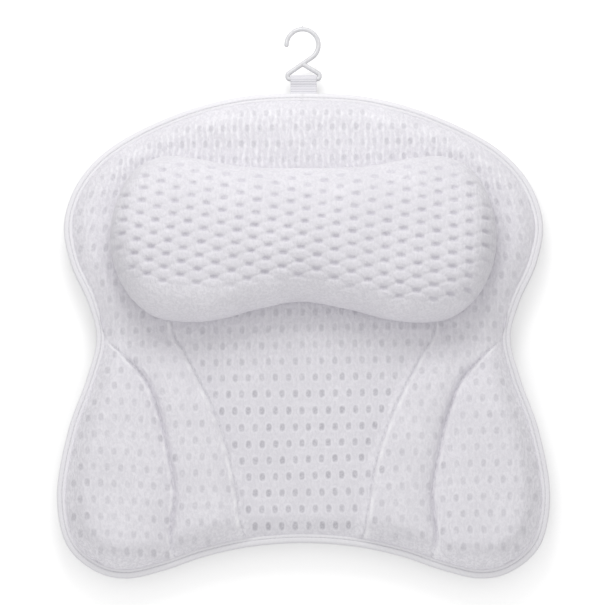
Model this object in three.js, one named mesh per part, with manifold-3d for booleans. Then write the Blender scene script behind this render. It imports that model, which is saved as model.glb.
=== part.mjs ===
// Bath pillow: a butterfly-shaped back pad of air mesh with four foam pads in its wings,
// a bone-shaped neck pillow, a plastic hook on a webbing loop and six suction cups.
// Lengths are millimetres and +Z is up. The pad lies on its suction cups, face up, with
// the neck end and the hook towards +Y. The origin is under the middle of the whole object.

import * as THREE from 'three';
import Module from 'manifold-3d';
import { LoftGeometry } from 'three/addons/geometries/LoftGeometry.js';
import { mergeVertices } from 'three/addons/utils/BufferGeometryUtils.js';

// Driving dimensions

const padWidth = 430;
const padLength = 430;
const neckPillowWidth = 340;
const neckPillowDepth = 148;
const neckPillowHeight = 64;
const cupDiameter = 55;
const webbingWidth = 23;

// Fits shared by all pieces

const clearance = 0.3;
const overrun = 1;

// Back pad: layers, from the back panel up to the front panel

const panelThickness = 3;
const coreThickness = 10;
const coreEdgeHeight = 1.7;
const coreEdgeInset = 14;
const coreFaceInset = 38;
const edgeRoll = 18;

// Binding tape folded round the edges of both panels

const tapeThickness = 1.5;
const bindingWidth = 8;
const bindingGap = 1.5;
const bindingRound = 2.2;

// Foam pads under the front panel

const innerPadRise = 13;
const outerPadRise = 17;
const padEdgeRoll = 26;
const foamClearance = 0.5;
const foamEdgeThickness = 3;

// Neck pillow

const neckPillowPlace = 79;
const coverThickness = 3;
const basePanelThickness = 2;
const neckBaseInset = 1.5;

// Webbing of the loop and the cup tabs

const webbingThickness = 1.2;
const loopReach = 14.7;
const loopTailRun = 4;
const loopTailLength = 16;

// Hanging hook: a ring and a triangular eye of round section

const wireDiameter = 4.2;
const ringRadius = 14.1;
const ringHeight = 30.9;
const ringOffset = -0.9;
const footBend = 2.3;
const nibWidth = 1.4;
const nibHeight = 1.2;

// Suction cup: a bell, a neck through the tab and a mushroom head

const cupBellHeight = 13;
const cupHollowDepth = 8;
const cupRimLand = 1.4;
const cupRimHeight = 1.2;
const cupNeckDiameter = 9;
const cupHeadDiameter = 17;
const cupHeadHeight = 3.5;
const cupHeadRound = 1;
const cupShoulderDiameter = 16;
const cupShoulderDrop = 3;

// Webbing tab that holds a cup under the back panel

const tabWidth = 25;
const tabSeat = 24;
const tabSlope = 9;
const tabEnd = 10;
const buttonholeLength = 13;

// Levels, measured up from the rims of the suction cups

const neckLength = webbingThickness + 2 * clearance;
const cupHeadLevel = cupBellHeight + neckLength;
const cupTop = cupHeadLevel + cupHeadHeight;
const backLevel = cupTop + clearance;
const backTop = backLevel + panelThickness;
const coreLevel = backTop + clearance;
const coreTop = coreLevel + coreThickness;
const flangeTop = backTop + clearance + panelThickness;
const frontTop = coreTop + clearance + panelThickness;
const bindingBottom = backLevel - clearance - tapeThickness;
const bindingTop = flangeTop + clearance + tapeThickness;
const panelInset = tapeThickness + bindingGap;
const flangeInset = bindingWidth + bindingGap;
const barLevel = bindingBottom - clearance - webbingThickness;
const barPlace = padLength / 2 + loopReach;
const wireRadius = wireDiameter / 2;
const hookReach = loopReach + ringHeight + ringRadius + wireRadius + nibHeight;
const neckBaseLevel = frontTop + clearance;
const neckCoverLevel = neckBaseLevel + basePanelThickness + clearance;

// The right half of the pad's outline, from the middle of the top edge round to the middle
// of the bottom edge, in shares of half the width and of the length

const outlineShares = [
  [0, 0.5], [0.285, 0.49], [0.561, 0.448], [0.805, 0.38], [0.927, 0.31], [0.978, 0.227],
  [0.951, 0.147], [0.878, 0.064], [0.8435, -0.008], [0.882, -0.091], [0.955, -0.196],
  [1, -0.339], [0.955, -0.436], [0.833, -0.488], [0.715, -0.5], [0.56, -0.483],
  [0.4065, -0.4566], [0.2236, -0.436], [0, -0.4277],
];
const topCornerPlace = 3;
const bottomCornerPlace = 13;

// The right half of the neck pillow's outline in shares of half its width and half its depth

const neckOutlineShares = [
  [0, 0.86], [0.35, 0.89], [0.55, 0.975], [0.73, 1], [0.87, 0.84], [0.965, 0.45], [1, 0.04],
  [0.97, -0.37], [0.89, -0.71], [0.76, -0.94], [0.58, -1], [0.41, -0.955], [0.24, -0.84],
  [0, -0.74],
];

// Rows of the front panel from the top edge to the bottom edge, and where both sewn
// creases cross those rows, in shares of the half width

const rowShares = [
  0, 0.015, 0.045, 0.1, 0.2, 0.32, 0.42, 0.475, 0.5, 0.53, 0.565, 0.61, 0.66, 0.72, 0.78,
  0.84, 0.89, 0.93, 0.96, 0.985, 1,
];
const creaseRowShares = [0, 0.3, 0.45, 0.5, 0.54, 0.58, 0.66, 0.76, 0.88, 1];
const innerCreaseShares = [0.5, 0.57, 0.62, 0.565, 0.505, 0.45, 0.357, 0.277, 0.223, 0.206];
const outerCreaseShares = [0.78, 0.86, 0.93, 0.855, 0.755, 0.675, 0.575, 0.5, 0.463, 0.54];

// Columns between the middle, the inner crease, the outer crease and the edge

const centreColumnShares = [0.55, 1];
const innerColumnShares = [0.16, 0.5, 0.84, 1];
const outerColumnShares = [0.15, 0.4, 0.62, 0.78, 0.91, 1];

// Rows and columns that the foam pads fill, and the shape of their crowns

const innerFoamRowShares = [0.53, 0.96];
const outerFoamRowShares = [0.565, 0.96];
const foamColumnShares = [0.15, 0.84];
const padStartShare = 0.49;
const padFullShare = 0.66;
const crownPower = 2.2;

// Rings of the neck pillow as [share towards its middle line, share of its height]

const neckRingShares = [
  [0.05, 0], [0.015, 0.1], [0, 0.26], [0.015, 0.45], [0.07, 0.63], [0.17, 0.79],
  [0.34, 0.92], [0.58, 0.985], [0.8, 1],
];
const neckSpineShare = 0.68;
const neckSaddleShare = 0.1;

// Places of the suction cups in shares of half the width and of the length

const cupPlaceShares = { upper: [0.45, 0.32], middle: [0.52, -0.03], lower: [0.62, -0.35] };

// Facets

const outlineSteps = 80;
const neckSteps = 44;
const cupSteps = 24;
const wireSides = 10;
const ringSteps = 14;
const bendSteps = 3;
const arcSteps = 8;
const searchSteps = 30;
const probeShare = 0.001;
const weldTolerance = 0.02;

const { lerp, clamp, degToRad } = THREE.MathUtils;

// Booleans

const wasm = await Module();
wasm.setup();

function toSolid(geometry) {
  const bare = new THREE.BufferGeometry();
  bare.setAttribute('position', geometry.attributes.position);
  bare.setIndex(geometry.index);
  const merged = mergeVertices(bare);
  const vertProperties = Float32Array.from(merged.attributes.position.array);
  const triVerts = Uint32Array.from(merged.index.array);
  return new wasm.Manifold(new wasm.Mesh({ numProp: 3, vertProperties, triVerts }));
}

function toGeometry(solid) {
  const mesh = solid.asOriginal().simplify(weldTolerance).getMesh();
  const geometry = new THREE.BufferGeometry();
  geometry.setAttribute('position', new THREE.BufferAttribute(mesh.vertProperties, 3));
  geometry.setIndex(new THREE.BufferAttribute(mesh.triVerts, 1));
  geometry.computeVertexNormals();
  return geometry;
}

// Closed outlines: a smooth curve through the right half and its mirror image, read at a
// place counted in points of the list, and moved inwards by an inset

function closedOutline(shares, halfWidth, unit) {
  const right = shares.map(([x, y]) => new THREE.Vector3(x * halfWidth, y * unit, 0));
  const left = right.slice(1, -1).reverse().map(({ x, y }) => new THREE.Vector3(-x, y, 0));
  const curve = new THREE.CatmullRomCurve3([...right, ...left], true, 'centripetal');
  const count = right.length + left.length;
  const half = right.length - 1;

  function at(place, inset = 0) {
    const share = place / count;
    const ahead = curve.getPoint((share + probeShare) % 1);
    const behind = curve.getPoint((share + 1 - probeShare) % 1);
    const direction = ahead.sub(behind).normalize();
    const inwards = new THREE.Vector3(direction.y, -direction.x, 0);
    return curve.getPoint(share % 1).addScaledVector(inwards, inset);
  }

  function loop(steps, inset, z) {
    const points = [];
    for (let step = 0; step < steps; step += 1) {
      const point = at(count - (count * step) / steps, inset);
      points.push(new THREE.Vector3(point.x, point.y, z));
    }
    return points;
  }

  return { at, loop, count, half };
}

const padOutline = closedOutline(outlineShares, padWidth / 2, padLength);
const neckOutline = closedOutline(neckOutlineShares, neckPillowWidth / 2, neckPillowDepth / 2);

// Flat plate with the form of an outline

function plate(points, bottom, thickness) {
  const shape = new THREE.Shape(points.map(({ x, y }) => new THREE.Vector2(x, y)));
  const geometry = new THREE.ExtrudeGeometry(shape, { depth: thickness, bevelEnabled: false });
  return geometry.translate(0, 0, bottom);
}

function backPanel() {
  return plate(padOutline.loop(outlineSteps, panelInset, 0), backLevel, panelThickness);
}

// Front panel surface: rows run between the top and bottom edges, columns follow the creases

function sidePlace(y) {
  let low = topCornerPlace;
  let high = bottomCornerPlace;
  for (let step = 0; step < searchSteps; step += 1) {
    const middle = (low + high) / 2;
    if (padOutline.at(middle).y > y) low = middle;
    else high = middle;
  }
  return low;
}

function patchPoint(across, along, inset) {
  const share = Math.abs(across);
  const top = padOutline.at(share * topCornerPlace, inset);
  const bottomPlace = lerp(padOutline.half, bottomCornerPlace, share);
  const bottom = padOutline.at(bottomPlace, inset);
  const topCorner = padOutline.at(topCornerPlace, inset);
  const bottomCorner = padOutline.at(bottomCornerPlace, inset);
  const sideY = lerp(padOutline.at(topCornerPlace).y, padOutline.at(bottomCornerPlace).y, along);
  const side = padOutline.at(sidePlace(sideY), inset);
  const chord = topCorner.lerp(bottomCorner, along);
  const point = top.lerp(bottom, along).addScaledVector(side.sub(chord), share);
  if (across < 0) point.x = -point.x;
  return point;
}

const flangeLoop = padOutline.loop(2 * outlineSteps, flangeInset, 0);

function edgeDistance(point) {
  const segment = new THREE.Line3();
  const foot = new THREE.Vector3();
  const distances = flangeLoop.map((start, index) => {
    segment.set(start, flangeLoop[(index + 1) % flangeLoop.length]);
    return segment.closestPointToPoint(point, true, foot).distanceTo(point);
  });
  return Math.min(...distances);
}

function crease(shares) {
  const track = new THREE.CubicInterpolant(creaseRowShares, shares, 1);
  return (along) => track.evaluate(along)[0];
}

const innerCrease = crease(innerCreaseShares);
const outerCrease = crease(outerCreaseShares);

function columnsAt(along) {
  const inner = innerCrease(along);
  const outer = outerCrease(along);
  const half = [
    ...centreColumnShares.map((share) => share * inner),
    ...innerColumnShares.map((share) => lerp(inner, outer, share)),
    ...outerColumnShares.map((share) => lerp(outer, 1, share)),
  ];
  return [...half.map((share) => -share).reverse(), 0, ...half];
}

function crown(share) {
  const fullness = 1 - Math.abs(2 * share - 1) ** crownPower;
  return Math.max(fullness, 0) ** (1 / crownPower);
}

function padRise(across, along) {
  const share = Math.abs(across);
  const inner = innerCrease(along);
  const outer = outerCrease(along);
  if (share <= inner) return 0;
  if (share <= outer) return innerPadRise * crown((share - inner) / (outer - inner));
  return outerPadRise * crown((share - outer) / (1 - outer));
}

function frontHeight(across, along, point) {
  const distance = edgeDistance(point);
  const roll = Math.sin((Math.PI / 2) * Math.min(distance / edgeRoll, 1));
  const shoulder = Math.sqrt(1 - (1 - Math.min(distance / padEdgeRoll, 1)) ** 2);
  const start = clamp((along - padStartShare) / (padFullShare - padStartShare), 0, 1);
  const swell = Math.sin((Math.PI / 2) * start);
  return lerp(flangeTop, frontTop, roll) + padRise(across, along) * shoulder * swell;
}

const frontRows = rowShares.map((along, row) => columnsAt(along).map((across, column, all) => {
  const point = patchPoint(across, along, flangeInset);
  const border = row % (rowShares.length - 1) === 0 || column % (all.length - 1) === 0;
  point.z = border ? flangeTop : frontHeight(across, along, point);
  return point;
}));

// Border of a patch of rows, clockwise from above

function borderOf(rows) {
  return [
    ...rows[0],
    ...rows.slice(1).map((row) => row.at(-1)),
    ...rows.at(-1).slice(0, -1).reverse(),
    ...rows.slice(1, -1).map((row) => row[0]).reverse(),
  ];
}

// Closed body between an upper and a lower patch, joined round their border by strips that
// pass through the loops given

function patchSolid(upperRows, lowerRows, loops = []) {
  const positions = [];
  const indices = [];
  const keep = (point) => positions.push(point.x, point.y, point.z) / 3 - 1;
  const upper = upperRows.map((row) => row.map(keep));
  const lower = lowerRows.map((row) => row.map(keep));
  const strips = [borderOf(upper), ...loops.map((loop) => loop.map(keep)), borderOf(lower)];

  for (let row = 0; row + 1 < upper.length; row += 1) {
    for (let column = 0; column + 1 < upper[row].length; column += 1) {
      const corners = (patch) => [
        patch[row][column], patch[row + 1][column],
        patch[row + 1][column + 1], patch[row][column + 1],
      ];
      const [a, b, c, d] = corners(upper);
      const [e, f, g, h] = corners(lower);
      indices.push(a, b, c, a, c, d, e, g, f, e, h, g);
    }
  }
  for (let strip = 0; strip + 1 < strips.length; strip += 1) {
    const from = strips[strip];
    const to = strips[strip + 1];
    from.forEach((a, index) => {
      const next = (index + 1) % from.length;
      indices.push(a, from[next], to[next], a, to[next], to[index]);
    });
  }

  const geometry = new THREE.BufferGeometry();
  geometry.setAttribute('position', new THREE.Float32BufferAttribute(positions, 3));
  geometry.setIndex(indices);
  geometry.computeVertexNormals();
  return geometry;
}

const lowered = (rows, drop) => rows.map((row) => row.map(
  (point) => new THREE.Vector3(point.x, point.y, point.z - drop),
));

function frontPanel() {
  const rows = rowShares.map((along) => columnsAt(along).map(
    (across) => patchPoint(across, along, panelInset),
  ));
  const edge = borderOf(rows);
  const atHeight = (z) => edge.map((point) => new THREE.Vector3(point.x, point.y, z));
  const loops = [atHeight(flangeTop), atHeight(flangeTop - panelThickness)];
  return patchSolid(frontRows, lowered(frontRows, panelThickness), loops);
}

// A foam pad fills the space between the core and the front panel on one side of a crease

function foamPad(side, firstColumn, columnShares, [firstRowShare, lastRowShare]) {
  const rows = frontRows.slice(
    rowShares.indexOf(firstRowShare),
    rowShares.indexOf(lastRowShare) + 1,
  );
  const [lowShare, highShare] = foamColumnShares;
  const filled = columnShares.filter((share) => share >= lowShare && share <= highShare);
  const start = firstColumn + columnShares.indexOf(filled[0]);
  const middle = (frontRows[0].length - 1) / 2;
  const cut = rows.map((row) => {
    const right = row.slice(middle + 1 + start, middle + 1 + start + filled.length);
    return side > 0 ? right : right.map((point) => point.clone().setX(-point.x)).reverse();
  });
  const upper = lowered(cut, panelThickness + foamClearance);
  const seat = coreTop + clearance;
  const lower = upper.map((row) => row.map(
    (point) => point.clone().setZ(Math.min(seat, point.z - foamEdgeThickness)),
  ));
  return patchSolid(upper, lower);
}

function innerFoam(side) {
  return foamPad(side, centreColumnShares.length, innerColumnShares, innerFoamRowShares);
}

function outerFoam(side) {
  const firstColumn = centreColumnShares.length + innerColumnShares.length;
  return foamPad(side, firstColumn, outerColumnShares, outerFoamRowShares);
}

// Core of spacer mesh with sloping edges

function spacerCore() {
  const sections = [
    padOutline.loop(outlineSteps, coreEdgeInset, coreLevel),
    padOutline.loop(outlineSteps, coreEdgeInset, coreLevel + coreEdgeHeight),
    padOutline.loop(outlineSteps, coreFaceInset, coreTop),
  ];
  return new LoftGeometry(sections, { closed: true, capStart: true, capEnd: true });
}

// Binding: a folded tape of U section swept round the outline

function edgeBinding() {
  const inner = tapeThickness;
  const section = [
    [0, bindingBottom + bindingRound], [0, bindingTop - bindingRound],
    [bindingRound, bindingTop], [bindingWidth, bindingTop],
    [bindingWidth, bindingTop - inner], [inner, bindingTop - inner],
    [inner, bindingBottom + inner], [bindingWidth, bindingBottom + inner],
    [bindingWidth, bindingBottom], [bindingRound, bindingBottom],
  ];
  const sections = [];
  for (let step = 0; step <= outlineSteps; step += 1) {
    const place = ((step % outlineSteps) * padOutline.count) / outlineSteps;
    sections.push(section.map(([inset, z]) => padOutline.at(place, inset).setZ(z)));
  }
  return new LoftGeometry(sections, { closed: true });
}

// Neck pillow: rings that close in from the outline to a middle line, with a saddle between
// its two lobes

function neckBody(inset, bottom, height, foot = 0) {
  const halfWidth = neckPillowWidth / 2;
  const rings = neckRingShares.map(([inward, rise]) => (
    neckOutline.loop(neckSteps, inset, 0).map((point) => {
      const spine = new THREE.Vector3(point.x * neckSpineShare, 0, 0);
      const ringPoint = point.lerp(spine, inward);
      const saddle = 1 - neckSaddleShare * (1 - (ringPoint.x / halfWidth) ** 2);
      ringPoint.z = bottom + height * rise * saddle;
      return ringPoint;
    })
  ));
  if (foot > 0) rings.unshift(rings[0].map((point) => point.clone().setZ(bottom - foot)));
  const geometry = new LoftGeometry(rings, { closed: true, capStart: true, capEnd: true });
  return geometry.translate(0, neckPillowPlace, 0);
}

const neckCoverHeight = neckPillowHeight - (neckCoverLevel - neckBaseLevel);

function neckCover() {
  const outer = toSolid(neckBody(0, neckCoverLevel, neckCoverHeight));
  const hollowHeight = neckCoverHeight - coverThickness;
  const hollow = toSolid(neckBody(coverThickness, neckCoverLevel, hollowHeight, overrun));
  return toGeometry(outer.subtract(hollow));
}

function neckFilling() {
  const inset = coverThickness + foamClearance;
  const height = neckCoverHeight - coverThickness - foamClearance;
  return neckBody(inset, neckCoverLevel, height);
}

function neckBase() {
  const [seamShare] = neckRingShares[0];
  const points = neckOutline.loop(neckSteps, neckBaseInset, 0).map((point) => (
    point.lerp(new THREE.Vector3(point.x * neckSpineShare, 0, 0), seamShare)
  ));
  return plate(points, neckBaseLevel, basePanelThickness).translate(0, neckPillowPlace, 0);
}

// Profiles drawn in the YZ plane and extruded to a width along X

function acrossX(shape, width) {
  const options = { depth: width, bevelEnabled: false, curveSegments: arcSteps };
  const geometry = new THREE.ExtrudeGeometry(shape, options).translate(0, 0, -width / 2);
  const yAxis = new THREE.Vector3(0, 1, 0);
  const zAxis = new THREE.Vector3(0, 0, 1);
  const xAxis = new THREE.Vector3(1, 0, 0);
  return geometry.applyMatrix4(new THREE.Matrix4().makeBasis(yAxis, zAxis, xAxis));
}

// Webbing loop: two layers sewn together, open round the hook's bar, that pass under the
// binding and rise to the back panel, where the tail is sewn down

function hangingLoop() {
  const innerRadius = wireRadius + clearance;
  const outerRadius = innerRadius + webbingThickness;
  const mouth = Math.asin(webbingThickness / outerRadius);
  const tailRise = tapeThickness + clearance;
  const riseStart = -loopReach - bindingWidth - clearance;
  const riseEnd = riseStart - loopTailRun;
  const tailEnd = riseEnd - loopTailLength;
  const shape = new THREE.Shape();
  shape.moveTo(tailEnd, webbingThickness + tailRise);
  shape.lineTo(riseEnd, webbingThickness + tailRise);
  shape.lineTo(riseStart, webbingThickness);
  shape.absarc(0, 0, outerRadius, Math.PI - mouth, mouth - Math.PI, true);
  shape.lineTo(riseStart, -webbingThickness);
  shape.lineTo(riseEnd, tailRise - webbingThickness);
  shape.lineTo(tailEnd, tailRise - webbingThickness);
  const eye = new THREE.Path();
  eye.absarc(0, 0, innerRadius, 0, 2 * Math.PI, false);
  shape.holes.push(eye);
  return acrossX(shape, webbingWidth);
}

// Hook: one moulded wire that makes the ring, crosses itself and closes a triangular eye

const barHalf = webbingWidth / 2 + clearance;
const ringLeave = degToRad(-55);
const ringTip = degToRad(180);

function onRing(angle) {
  const x = ringOffset + ringRadius * Math.cos(angle);
  const y = ringHeight + ringRadius * Math.sin(angle);
  return new THREE.Vector3(x, y, 0);
}

function onDiagonal(x) {
  const leave = onRing(ringLeave);
  const y = leave.y - (leave.x - x) * Math.tan(Math.PI / 2 + ringLeave);
  return new THREE.Vector3(x, y, 0);
}

function footPoints(side) {
  const leaveX = barHalf + footBend * Math.cos(ringLeave);
  const footRise = onDiagonal(-leaveX).y + footBend * Math.sin(ringLeave);
  const bends = [
    { centre: footBend, from: -Math.PI / 2, to: 0 },
    { centre: footRise, from: 0, to: -ringLeave },
  ];
  const points = [new THREE.Vector3(0, 0, 0), new THREE.Vector3((side * barHalf) / 2, 0, 0)];
  bends.forEach(({ centre, from, to }) => {
    for (let step = 0; step <= bendSteps; step += 1) {
      const angle = lerp(from, to, step / bendSteps);
      const x = barHalf + footBend * Math.cos(angle);
      points.push(new THREE.Vector3(side * x, centre + footBend * Math.sin(angle), 0));
    }
  });
  return points;
}

function tube(points, steps) {
  const section = new THREE.Shape();
  section.absarc(0, 0, wireRadius, 0, 2 * Math.PI, false);
  const extrudePath = new THREE.CatmullRomCurve3(points, false, 'centripetal');
  const curveSegments = wireSides / 2;
  return new THREE.ExtrudeGeometry(section, { steps, extrudePath, curveSegments });
}

function gateNib() {
  const length = nibHeight + wireRadius;
  const stub = new THREE.CylinderGeometry(nibWidth / 2, nibWidth / 2, length, wireSides);
  return stub.translate(ringOffset, ringHeight + ringRadius + length / 2, 0);
}

function hangingHook() {
  const ring = [];
  for (let step = 0; step <= ringSteps; step += 1) {
    ring.push(onRing(lerp(ringTip, ringLeave, step / ringSteps)));
  }
  const crossing = onDiagonal(ringOffset);
  const main = tube([...ring, crossing, ...footPoints(-1).reverse()], 4 * ringSteps);
  const back = tube([...footPoints(1), crossing], 2 * ringSteps);
  const tip = new THREE.SphereGeometry(wireRadius, wireSides, wireSides / 2);
  tip.translate(ring[0].x, ring[0].y, 0);
  const [first, ...others] = [main, back, tip, gateNib()].map(toSolid);
  return toGeometry(others.reduce((sum, solid) => sum.add(solid), first));
}

// Suction cup, turned about its axis

function suctionCup() {
  const rim = cupDiameter / 2;
  const neck = cupNeckDiameter / 2;
  const shoulder = cupShoulderDiameter / 2;
  const head = cupHeadDiameter / 2;
  const shoulderLevel = cupBellHeight - cupShoulderDrop;
  const profile = [[0, cupHollowDepth]];
  for (let step = 1; step <= bendSteps; step += 1) {
    const angle = (Math.PI / 2) * (step / bendSteps);
    profile.push([(rim - cupRimLand) * Math.sin(angle), cupHollowDepth * Math.cos(angle)]);
  }
  profile.push(
    [rim, 0], [rim, cupRimHeight],
    [(rim + shoulder) / 2, (shoulderLevel + cupRimHeight) / 2 + cupRimHeight],
    [shoulder, shoulderLevel], [shoulder - cupShoulderDrop / 2, cupBellHeight],
    [neck, cupBellHeight],
    [neck, cupHeadLevel], [head, cupHeadLevel], [head, cupTop - cupHeadRound],
    [head - cupHeadRound, cupTop], [0, cupTop],
  );
  const points = profile.map(([radius, z]) => new THREE.Vector2(radius, z));
  return new THREE.LatheGeometry(points, cupSteps).rotateX(Math.PI / 2);
}

// Tab: a strip sewn down at both ends, bridging the cup's head, with a buttonhole

function cupTab() {
  const seatTop = cupHeadLevel - clearance;
  const endTop = backLevel - clearance;
  const half = tabSeat / 2;
  const reach = half + tabSlope;
  const side = [[half, seatTop], [reach, endTop], [reach + tabEnd, endTop]];
  const upper = [...side.map(([y, z]) => [-y, z]).reverse(), ...side];
  const lower = upper.map(([y, z]) => [y, z - webbingThickness]).reverse();
  const shape = new THREE.Shape([...upper, ...lower].map(([y, z]) => new THREE.Vector2(y, z)));
  const strip = toSolid(acrossX(shape, tabWidth));

  const holeRadius = cupNeckDiameter / 2 + clearance;
  const holeReach = buttonholeLength / 2 - holeRadius;
  const slot = new THREE.Shape();
  slot.absarc(0, holeReach, holeRadius, 0, Math.PI, false);
  slot.absarc(0, -holeReach, holeRadius, Math.PI, 2 * Math.PI, false);
  const depth = webbingThickness + 2 * overrun;
  const cutter = new THREE.ExtrudeGeometry(slot, {
    depth, bevelEnabled: false, curveSegments: cupSteps / 2,
  }).translate(0, 0, seatTop - webbingThickness - overrun);
  return toGeometry(strip.subtract(toSolid(cutter)));
}

// Assembly

const finishes = {
  airMesh: { color: 0xe9e8ee, roughness: 0.85, metalness: 0 },
  spacerMesh: { color: 0xe2e2e6, roughness: 0.9, metalness: 0 },
  foam: { color: 0xf1efe6, roughness: 0.95, metalness: 0 },
  binding: { color: 0xf4f4f6, roughness: 0.75, metalness: 0 },
  webbing: { color: 0xe6e5ec, roughness: 0.8, metalness: 0 },
  plastic: { color: 0xf7f7f8, roughness: 0.3, metalness: 0 },
  clearRubber: { color: 0xdfe6e8, roughness: 0.15, metalness: 0 },
};

const pillow = new THREE.Group();

function addPiece(name, geometry, finish, x = 0, y = 0, z = 0) {
  const mesh = new THREE.Mesh(geometry, new THREE.MeshStandardMaterial(finishes[finish]));
  mesh.name = name;
  mesh.position.set(x, y, z);
  pillow.add(mesh);
}

addPiece('back_panel', backPanel(), 'airMesh');
addPiece('spacer_core', spacerCore(), 'spacerMesh');
addPiece('front_panel', frontPanel(), 'airMesh');
addPiece('edge_binding', edgeBinding(), 'binding');
addPiece('left_outer_foam', outerFoam(-1), 'foam');
addPiece('left_inner_foam', innerFoam(-1), 'foam');
addPiece('right_inner_foam', innerFoam(1), 'foam');
addPiece('right_outer_foam', outerFoam(1), 'foam');
addPiece('neck_pillow_base', neckBase(), 'airMesh');
addPiece('neck_pillow_filling', neckFilling(), 'foam');
addPiece('neck_pillow_cover', neckCover(), 'airMesh');
addPiece('hanging_loop', hangingLoop(), 'webbing', 0, barPlace, barLevel);
addPiece('hanging_hook', hangingHook(), 'plastic', 0, barPlace, barLevel);

Object.entries(cupPlaceShares).forEach(([row, [xShare, yShare]]) => {
  Object.entries({ left: -1, right: 1 }).forEach(([sideName, side]) => {
    const x = (side * xShare * padWidth) / 2;
    const y = yShare * padLength;
    addPiece(`cup_tab_${row}_${sideName}`, cupTab(), 'webbing', x, y);
    addPiece(`suction_cup_${row}_${sideName}`, suctionCup(), 'clearRubber', x, y);
  });
});

pillow.position.y = -hookReach / 2;

export default pillow;
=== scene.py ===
"""Bath pillow: the visible pieces, materials, floor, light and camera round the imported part.

Lengths are metres in the part's own frame. Sizes that repeat the part's source keep its names.
"""

import math

import bmesh
import bpy
import numpy as np
from mathutils import Matrix, Vector


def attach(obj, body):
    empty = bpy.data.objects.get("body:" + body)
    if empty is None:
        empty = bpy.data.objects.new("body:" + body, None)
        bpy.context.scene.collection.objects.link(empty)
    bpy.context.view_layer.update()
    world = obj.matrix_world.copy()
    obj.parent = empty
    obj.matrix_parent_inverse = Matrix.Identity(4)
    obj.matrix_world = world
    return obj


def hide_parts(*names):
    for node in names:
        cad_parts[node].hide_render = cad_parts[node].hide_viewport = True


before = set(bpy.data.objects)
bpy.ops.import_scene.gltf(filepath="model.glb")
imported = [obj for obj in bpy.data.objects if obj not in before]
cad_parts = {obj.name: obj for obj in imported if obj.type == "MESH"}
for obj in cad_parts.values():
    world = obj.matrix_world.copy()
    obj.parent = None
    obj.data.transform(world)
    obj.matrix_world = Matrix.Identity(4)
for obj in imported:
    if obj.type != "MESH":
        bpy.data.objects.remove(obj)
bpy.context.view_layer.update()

MM = 0.001
TURN = 2 * math.pi

# Sizes that the part's source has too

PAD_WIDTH = 430 * MM
PAD_LENGTH = 430 * MM
NECK_WIDTH = 340 * MM
NECK_DEPTH = 148 * MM
WEBBING_WIDTH = 23 * MM
CLEARANCE = 0.3 * MM
PANEL_THICKNESS = 3 * MM
EDGE_ROLL = 18 * MM
TAPE_THICKNESS = 1.5 * MM
BINDING_WIDTH = 7.2 * MM
INNER_PAD_RISE = 13 * MM
OUTER_PAD_RISE = 17 * MM
PAD_EDGE_ROLL = 26 * MM
WEBBING_THICKNESS = 1.2 * MM
LOOP_REACH = 14.7 * MM
WIRE_RADIUS = 2.1 * MM
RING_RADIUS = 14.1 * MM
RING_HEIGHT = 30.9 * MM
RING_OFFSET = -0.9 * MM
FOOT_BEND = 2.3 * MM
NIB_WIDTH = 1.4 * MM
NIB_HEIGHT = 1.2 * MM
HOOK_REACH = 63 * MM
PAD_PLACE = -HOOK_REACH / 2
NECK_PLACE = 79 * MM + PAD_PLACE
BAR_PLACE = PAD_LENGTH / 2 + LOOP_REACH + PAD_PLACE

# Levels above the floor

BAR_LEVEL = 15.3 * MM
BINDING_BOTTOM = 16.8 * MM
BACK_LEVEL = 18.6 * MM
FLANGE_TOP = 24.9 * MM
BINDING_TOP = 26.7 * MM
FRONT_TOP = 35.2 * MM
NECK_COVER_LEVEL = 37.8 * MM
NECK_COVER_HEIGHT = 61.7 * MM
PANEL_INSET = 3 * MM
MESH_INSET = 7.3 * MM

# The right half of each outline from the middle of the top: shares of half the width, and of the
# pad's length or half the neck pillow's depth
OUTLINE_SHARES = [
    (0, 0.5), (0.285, 0.49), (0.561, 0.448), (0.805, 0.38), (0.927, 0.31), (0.978, 0.227),
    (0.951, 0.147), (0.878, 0.064), (0.8435, -0.008), (0.882, -0.091), (0.955, -0.196),
    (1, -0.339), (0.955, -0.436), (0.833, -0.488), (0.715, -0.5), (0.56, -0.483),
    (0.4065, -0.4566), (0.2236, -0.436), (0, -0.4277),
]
TOP_CORNER = 3
BOTTOM_CORNER = 13
NECK_OUTLINE_SHARES = [
    (0, 0.86), (0.35, 0.89), (0.55, 0.975), (0.73, 1), (0.87, 0.84), (0.965, 0.45), (1, 0.04),
    (0.97, -0.37), (0.89, -0.71), (0.76, -0.94), (0.58, -1), (0.41, -0.955), (0.24, -0.84),
    (0, -0.74),
]

# Places of the creases across the pad, at rows from its top edge (0) to its bottom edge (1)
CREASE_ROWS = [0, 0.3, 0.45, 0.5, 0.54, 0.58, 0.66, 0.76, 0.88, 1]
INNER_CREASE = [0.5, 0.57, 0.61, 0.566, 0.504, 0.45, 0.357, 0.275, 0.221, 0.207]
OUTER_CREASE = [0.78, 0.88, 0.985, 0.845, 0.75, 0.671, 0.576, 0.502, 0.461, 0.53]
PAD_START = 0.462
PAD_FULL = 0.65
SEAM_START = 0.452
CROWN_POWER = 2.2

# The neck pillow's side from its seam up: shares inwards and upwards, and their whole lengths
NECK_RINGS = [
    (0.05, 0), (0.015, 0.1), (0, 0.26), (0.015, 0.45), (0.07, 0.63), (0.17, 0.79),
    (0.34, 0.92), (0.58, 0.985), (0.8, 1), (1, 1),
]
NECK_RING_SCALE = (74, 62)
NECK_SPINE = 0.68
NECK_SADDLE = 0.1
CUP_PLACES = {"upper": (0.45, 0.32), "middle": (0.52, -0.03), "lower": (0.62, -0.35)}


def mix(a, b, share):
    return a + (b - a) * share


def smooth_step(low, high, value):
    share = np.clip((value - low) / (high - low), 0, 1)
    return share * share * (3 - 2 * share)


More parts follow.
